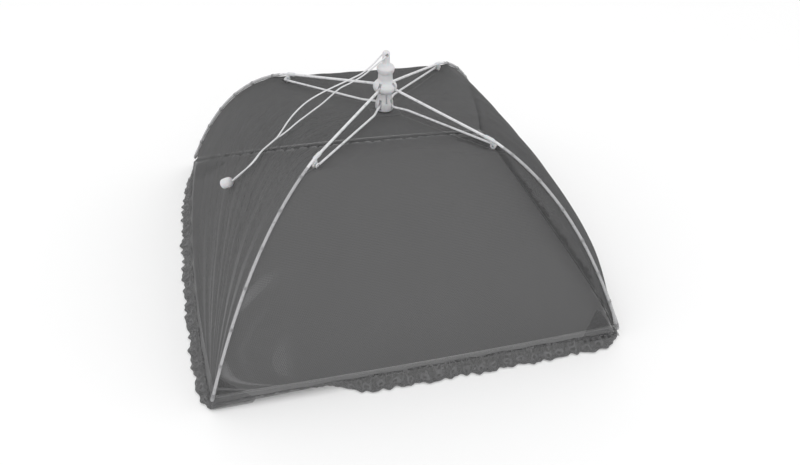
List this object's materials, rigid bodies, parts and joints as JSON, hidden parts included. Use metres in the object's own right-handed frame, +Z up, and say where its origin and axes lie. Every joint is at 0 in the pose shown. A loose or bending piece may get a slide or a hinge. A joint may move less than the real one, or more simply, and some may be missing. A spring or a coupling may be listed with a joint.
{
  "type": "food tent",
  "caption": "Square pop-up mesh food cover on a four-rib folding umbrella frame, with a lace edge, a crown hub and a pull cord with a toggle.",
  "frame": {"origin": "centre of the square footprint, on the surface the tent stands on", "axes": "+Z up along the crown's stem, -Y towards the front panel, +X towards the right panel"},
  "size_m": [0.4696, 0.4636, 0.246],
  "materials": {
    "pale_plastic": "satin",
    "coated_wire": "satin",
    "bright_wire": "polished",
    "mesh_netting": "matte",
    "hem_tape": "matte",
    "lace_edging": "matte",
    "pull_cord": "matte"
  },
  "bodies": {
    "crown": {"crown": "pale_plastic", "crown_ring": "bright_wire", "cord_strand_front": "pull_cord", "cord_strand_back": "pull_cord"},
    "runner": {"runner": "pale_plastic", "runner_ring": "bright_wire", "canopy_centre_patch": "hem_tape", "canopy_button": "pale_plastic"},
    "toggle": {"toggle": "pale_plastic"},
    "rib_back_right": {"rib_back_right": "coated_wire", "tip_cap_back_right": "pale_plastic", "bracket_back_right": "pale_plastic", "corner_pocket_back_right": "hem_tape", "canopy_back_right_right": "mesh_netting", "canopy_back_right_back": "mesh_netting", "hem_back_right_right": "hem_tape", "hem_back_right_back": "hem_tape", "lace_back_right_right": "lace_edging", "lace_back_right_back": "lace_edging"},
    "strut_back_right": {"strut_back_right": "coated_wire", "strut_rivet_back_right": "bright_wire"},
    "rib_back_left": {"rib_back_left": "coated_wire", "tip_cap_back_left": "pale_plastic", "bracket_back_left": "pale_plastic", "corner_pocket_back_left": "hem_tape", "canopy_back_left_back": "mesh_netting", "canopy_back_left_left": "mesh_netting", "hem_back_left_back": "hem_tape", "hem_back_left_left": "hem_tape", "lace_back_left_back": "lace_edging", "lace_back_left_left": "lace_edging"},
    "strut_back_left": {"strut_back_left": "coated_wire", "strut_rivet_back_left": "bright_wire"},
    "rib_front_left": {"rib_front_left": "coated_wire", "tip_cap_front_left": "pale_plastic", "bracket_front_left": "pale_plastic", "corner_pocket_front_left": "hem_tape", "canopy_front_left_left": "mesh_netting", "canopy_front_left_front": "mesh_netting", "hem_front_left_left": "hem_tape", "hem_front_left_front": "hem_tape", "lace_front_left_left": "lace_edging", "lace_front_left_front": "lace_edging"},
    "strut_front_left": {"strut_front_left": "coated_wire", "strut_rivet_front_left": "bright_wire"},
    "rib_front_right": {"rib_front_right": "coated_wire", "tip_cap_front_right": "pale_plastic", "bracket_front_right": "pale_plastic", "corner_pocket_front_right": "hem_tape", "canopy_front_right_front": "mesh_netting", "canopy_front_right_right": "mesh_netting", "hem_front_right_front": "hem_tape", "hem_front_right_right": "hem_tape", "lace_front_right_front": "lace_edging", "lace_front_right_right": "lace_edging"},
    "strut_front_right": {"strut_front_right": "coated_wire", "strut_rivet_front_right": "bright_wire"}
  },
  "joints": [
    {"name": "runner_slide", "type": "slide", "parent": "crown", "child": "runner", "axis": [0, 0, -1], "range_m": [0, 0.19419]},
    {"name": "toggle_draw", "type": "slide", "parent": "crown", "child": "toggle", "axis": [0.8167, 0.117, 0.565], "range_m": [0, 0.19429], "deforming": ["cord_strand_front", "cord_strand_back"]},
    {"name": "rib_hinge_back_right", "type": "hinge", "parent": "crown", "child": "rib_back_right", "pos_m": [0.00764, 0.00764, 0.2073], "axis": [-0.7071, 0.7071, 0], "range_deg": [0, 51.01], "deforming": ["canopy_back_right_right", "canopy_back_right_back", "hem_back_right_right", "hem_back_right_back", "lace_back_right_right", "lace_back_right_back", "corner_pocket_back_right"]},
    {"name": "strut_hinge_back_right", "type": "hinge", "parent": "runner", "child": "strut_back_right", "pos_m": [0.00566, 0.00566, 0.187], "axis": [0.7071, -0.7071, 0], "range_deg": [0, 66.97]},
    {"name": "rib_hinge_back_left", "type": "hinge", "parent": "crown", "child": "rib_back_left", "pos_m": [-0.00764, 0.00764, 0.2073], "axis": [-0.7071, -0.7071, 0], "range_deg": [0, 51.01], "deforming": ["canopy_back_left_back", "canopy_back_left_left", "hem_back_left_back", "hem_back_left_left", "lace_back_left_back", "lace_back_left_left", "corner_pocket_back_left"]},
    {"name": "strut_hinge_back_left", "type": "hinge", "parent": "runner", "child": "strut_back_left", "pos_m": [-0.00566, 0.00566, 0.187], "axis": [0.7071, 0.7071, 0], "range_deg": [0, 66.97]},
    {"name": "rib_hinge_front_left", "type": "hinge", "parent": "crown", "child": "rib_front_left", "pos_m": [-0.00764, -0.00764, 0.2073], "axis": [0.7071, -0.7071, 0], "range_deg": [0, 51.01], "deforming": ["canopy_front_left_left", "canopy_front_left_front", "hem_front_left_left", "hem_front_left_front", "lace_front_left_left", "lace_front_left_front", "corner_pocket_front_left"]},
    {"name": "strut_hinge_front_left", "type": "hinge", "parent": "runner", "child": "strut_front_left", "pos_m": [-0.00566, -0.00566, 0.187], "axis": [-0.7071, 0.7071, 0], "range_deg": [0, 66.97]},
    {"name": "rib_hinge_front_right", "type": "hinge", "parent": "crown", "child": "rib_front_right", "pos_m": [0.00764, -0.00764, 0.2073], "axis": [0.7071, 0.7071, 0], "range_deg": [0, 51.01], "deforming": ["canopy_front_right_front", "canopy_front_right_right", "hem_front_right_front", "hem_front_right_right", "lace_front_right_front", "lace_front_right_right", "corner_pocket_front_right"]},
    {"name": "strut_hinge_front_right", "type": "hinge", "parent": "runner", "child": "strut_front_right", "pos_m": [0.00566, -0.00566, 0.187], "axis": [-0.7071, -0.7071, 0], "range_deg": [0, 66.97]}
  ],
  "couplings": [
    {"joint": "toggle_draw", "follows": "runner_slide", "ratio": 1},
    {"joint": "rib_hinge_back_right", "follows": "runner_slide", "rad_per_m": 4.5837},
    {"joint": "strut_hinge_back_right", "follows": "runner_slide", "rad_per_m": 6.0182},
    {"joint": "rib_hinge_back_left", "follows": "runner_slide", "rad_per_m": 4.5837},
    {"joint": "strut_hinge_back_left", "follows": "runner_slide", "rad_per_m": 6.0182},
    {"joint": "rib_hinge_front_left", "follows": "runner_slide", "rad_per_m": 4.5837},
    {"joint": "strut_hinge_front_left", "follows": "runner_slide", "rad_per_m": 6.0182},
    {"joint": "rib_hinge_front_right", "follows": "runner_slide", "rad_per_m": 4.5837},
    {"joint": "strut_hinge_front_right", "follows": "runner_slide", "rad_per_m": 6.0182}
  ]
}
